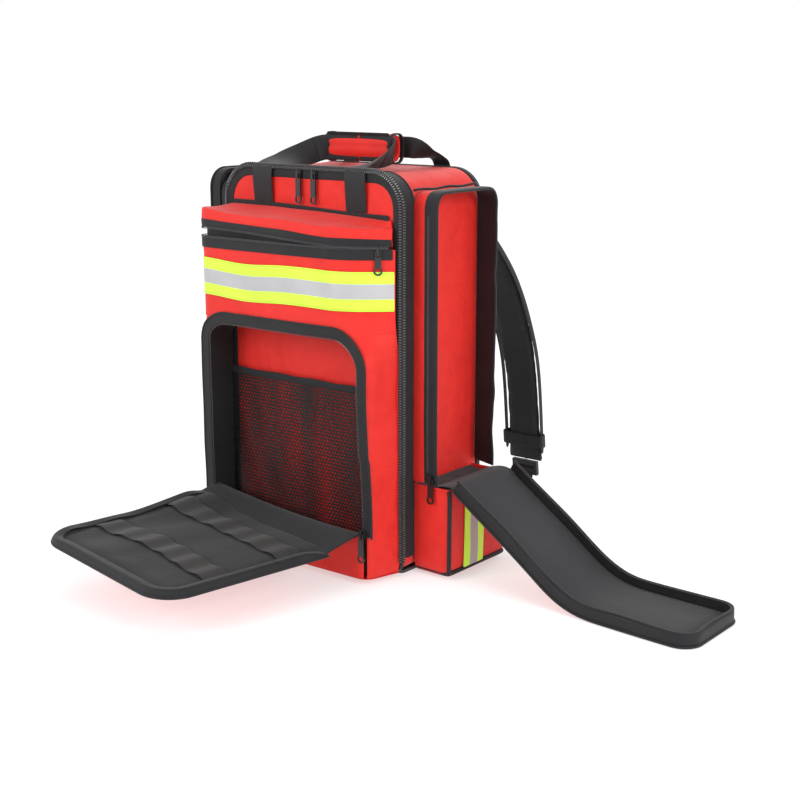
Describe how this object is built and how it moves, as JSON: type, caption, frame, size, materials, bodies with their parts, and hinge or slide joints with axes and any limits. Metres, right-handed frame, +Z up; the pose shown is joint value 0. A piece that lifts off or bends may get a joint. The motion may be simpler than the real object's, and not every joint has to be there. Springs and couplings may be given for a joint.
{
  "type": "trauma backpack",
  "caption": "Upright clamshell rescue backpack with a hinged front door, fold-down front and side pocket flaps, reflective bands, carry loops and padded shoulder straps.",
  "frame": {"origin": "centre of the main compartment on the floor, in the flat underside of the base", "axes": "+Z up, +Y towards the wearer side (shoulder straps), -Y towards the front door, +X to the right seen from the front"},
  "size_m": [0.7697, 0.7601, 0.565],
  "materials": {
    "red_nylon": "woven coated nylon",
    "black_nylon": "woven nylon over foam",
    "black_binding": "woven tape",
    "black_webbing": "ribbed webbing",
    "black_mesh": "open net",
    "spacer_mesh": "spacer mesh over foam",
    "reflective_tape": "fluorescent yellow with a silver retroreflective stripe",
    "zip_metal": "black enamel",
    "black_plastic": "moulded",
    "black_coated_fabric": "coated, hard wearing",
    "stiffener_plastic": "sheet"
  },
  "bodies": {
    "pack_body": {"back_pad_left": "spacer_mesh", "back_pad_right": "spacer_mesh", "back_panel": "black_nylon", "base_panel": "black_coated_fabric", "body_gusset": "red_nylon", "body_zip_tape": "black_binding", "frame_sheet": "stiffener_plastic", "ladder_lock_left": "black_plastic", "ladder_lock_right": "black_plastic", "lower_webbing_left": "black_webbing", "lower_webbing_right": "black_webbing", "rear_carry_loop": "black_webbing", "shoulder_strap_left": "black_nylon", "shoulder_strap_right": "black_nylon", "side_band_left": "reflective_tape", "side_band_right": "reflective_tape", "side_pocket_base_left": "red_nylon", "side_pocket_base_right": "red_nylon", "side_pocket_gusset_left": "red_nylon", "side_pocket_gusset_right": "red_nylon", "side_pocket_zip_tape_left": "black_binding", "side_pocket_zip_tape_right": "black_binding"},
    "door": {"door_panel": "red_nylon", "door_zip_tape": "black_binding", "front_band": "reflective_tape", "front_carry_loop": "black_webbing", "front_pocket_shell": "red_nylon", "front_pocket_zip_tape": "black_binding", "handle_wrap": "red_nylon", "mesh_pocket": "black_mesh", "mesh_pocket_binding": "black_binding", "top_pocket_shell": "red_nylon", "top_pocket_lip": "red_nylon", "top_pocket_zip_low": "black_binding", "top_pocket_zip_high": "black_binding", "top_pocket_binding": "black_binding"},
    "front_flap": {"front_flap_panel": "black_nylon", "front_flap_rim": "black_binding", "elastic_row_inner": "black_webbing", "elastic_row_outer": "black_webbing"},
    "flap_lower_left": {"side_flap_lower_left": "black_nylon"},
    "flap_lower_right": {"side_flap_lower_right": "black_nylon"},
    "flap_upper_left": {"side_flap_upper_left": "black_nylon"},
    "flap_upper_right": {"side_flap_upper_right": "black_nylon"},
    "slider_front_left": {"slider_front_left": "zip_metal"},
    "slider_front_right": {"slider_front_right": "zip_metal"},
    "slider_main_left": {"slider_main_left": "zip_metal"},
    "slider_main_right": {"slider_main_right": "zip_metal"},
    "slider_side_left": {"slider_side_left": "zip_metal"},
    "slider_side_right": {"slider_side_right": "zip_metal"},
    "slider_top_pocket": {"slider_top_pocket": "zip_metal"},
    "pull_front_left": {"pull_front_left": "zip_metal"},
    "pull_front_right": {"pull_front_right": "zip_metal"},
    "pull_main_left": {"pull_main_left": "zip_metal"},
    "pull_main_right": {"pull_main_right": "zip_metal"},
    "pull_side_left": {"pull_side_left": "zip_metal"},
    "pull_side_right": {"pull_side_right": "zip_metal"},
    "pull_top_pocket": {"pull_top_pocket": "zip_metal"},
    "strap_keeper_left": {"strap_keeper_left": "black_webbing"},
    "strap_keeper_right": {"strap_keeper_right": "black_webbing"}
  },
  "joints": [
    {"name": "door_hinge", "type": "hinge", "parent": "pack_body", "child": "door", "pos_m": [0, -0.0793, 0.0015], "axis": [1, 0, 0], "range_deg": [0, 130]},
    {"name": "front_flap_hinge", "type": "hinge", "parent": "door", "child": "front_flap", "pos_m": [-0.146, -0.1561, 0.064], "axis": [-0.9944, 0.0434, 0.0962], "range_deg": [0, 90.03]},
    {"name": "right_flap_hinge", "type": "hinge", "parent": "pack_body", "child": "flap_upper_right", "pos_m": [0.2088, 0, 0.124], "axis": [0, -1, 0], "range_deg": [0, 125]},
    {"name": "right_flap_crease", "type": "hinge", "parent": "flap_upper_right", "child": "flap_lower_right", "pos_m": [0.3841, 0, 0.00126], "axis": [0, -1, 0], "range_deg": [-35, 0]},
    {"name": "left_flap_hinge", "type": "hinge", "parent": "pack_body", "child": "flap_upper_left", "pos_m": [-0.2088, 0, 0.124], "axis": [0, -1, 0], "range_deg": [0, 125]},
    {"name": "left_flap_crease", "type": "hinge", "parent": "flap_upper_left", "child": "flap_lower_left", "pos_m": [-0.2088, 0, 0.338], "axis": [0, -1, 0], "range_deg": [-35, 0]},
    {"name": "slide_main_left", "type": "slide", "parent": "door", "child": "slider_main_left", "axis": [-1, 0, 0], "range_m": [0, 0.036]},
    {"name": "tab_main_left", "type": "hinge", "parent": "slider_main_left", "child": "pull_main_left", "pos_m": [-0.016, -0.0931, 0.514], "axis": [-1, 0, 0], "range_deg": [0, 140]},
    {"name": "slide_main_right", "type": "slide", "parent": "door", "child": "slider_main_right", "axis": [1, 0, 0], "range_m": [0, 0.042]},
    {"name": "tab_main_right", "type": "hinge", "parent": "slider_main_right", "child": "pull_main_right", "pos_m": [0.01, -0.0931, 0.514], "axis": [-1, 0, 0], "range_deg": [0, 140]},
    {"name": "slide_top_pocket", "type": "slide", "parent": "door", "child": "slider_top_pocket", "axis": [-0.8222, -0.5692, 0], "range_m": [0, 0.05]},
    {"name": "tab_top_pocket", "type": "hinge", "parent": "slider_top_pocket", "child": "pull_top_pocket", "pos_m": [0.13032, -0.10894, 0.426], "axis": [-0.8222, -0.5692, 0], "range_deg": [0, 140]},
    {"name": "slide_front_right", "type": "slide", "parent": "door", "child": "slider_front_right", "axis": [0, 0, 1], "range_m": [0, 0.2]},
    {"name": "tab_front_right", "type": "hinge", "parent": "slider_front_right", "child": "pull_front_right", "pos_m": [0.1325, -0.1481, 0.07], "axis": [-1, 0, 0], "range_deg": [0, 140]},
    {"name": "slide_front_left", "type": "slide", "parent": "door", "child": "slider_front_left", "axis": [0, 0, 1], "range_m": [0, 0.2]},
    {"name": "tab_front_left", "type": "hinge", "parent": "slider_front_left", "child": "pull_front_left", "pos_m": [-0.1525, -0.1481, 0.07], "axis": [-1, 0, 0], "range_deg": [0, 70]},
    {"name": "slide_side_right", "type": "slide", "parent": "pack_body", "child": "slider_side_right", "axis": [0, 0, 1], "range_m": [0, 0.33]},
    {"name": "tab_side_right", "type": "hinge", "parent": "slider_side_right", "child": "pull_side_right", "pos_m": [0.181, -0.0664, 0.132], "axis": [-1, 0, 0], "range_deg": [0, 140]},
    {"name": "slide_side_left", "type": "slide", "parent": "pack_body", "child": "slider_side_left", "axis": [0, 0, 1], "range_m": [0, 0.33]},
    {"name": "tab_side_left", "type": "hinge", "parent": "slider_side_left", "child": "pull_side_left", "pos_m": [-0.181, -0.0664, 0.132], "axis": [-1, 0, 0], "range_deg": [0, 140]},
    {"name": "keeper_slide_right", "type": "slide", "parent": "pack_body", "child": "strap_keeper_right", "axis": [0, -0.1135, 0.9935], "range_m": [0, 0.07]},
    {"name": "keeper_slide_left", "type": "slide", "parent": "pack_body", "child": "strap_keeper_left", "axis": [0, -0.1135, 0.9935], "range_m": [0, 0.07]}
  ],
  "couplings": [
    {"joint": "right_flap_crease", "follows": "right_flap_hinge", "ratio": -0.28},
    {"joint": "left_flap_crease", "follows": "left_flap_hinge", "ratio": -0.28}
  ]
}
